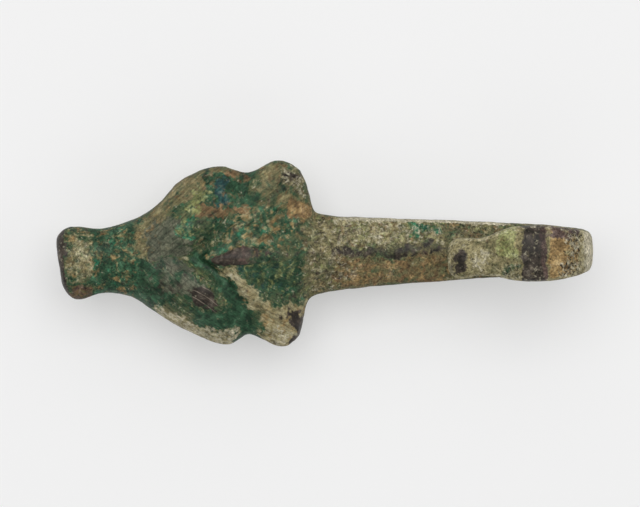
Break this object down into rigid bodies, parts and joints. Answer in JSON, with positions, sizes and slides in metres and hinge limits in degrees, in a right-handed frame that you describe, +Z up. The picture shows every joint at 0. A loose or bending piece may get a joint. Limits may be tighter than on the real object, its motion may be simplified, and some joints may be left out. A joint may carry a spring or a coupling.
{
  "type": "garment hook",
  "caption": "Cast bronze garment hook: long-muzzled animal head with swept-back ears, ridged shaft curling up into a small hook head, and a round button on a stem underneath.",
  "frame": {"origin": "centre of the button's flat underside, on which the hook stands", "axes": "+X along the hook, from the muzzle to the bend; +Z up, from the button to the carved face; +Y to the side that is left when looking along +X"},
  "size_m": [0.065, 0.0229, 0.0188],
  "materials": {
    "patinated_bronze": "cast leaded bronze under burial patina: mottled olive, malachite green and tan crust in the hollows, smooth dark brown where it is worn"
  },
  "bodies": {
    "root": {"garment_hook": "patinated_bronze"}
  },
  "joints": []
}
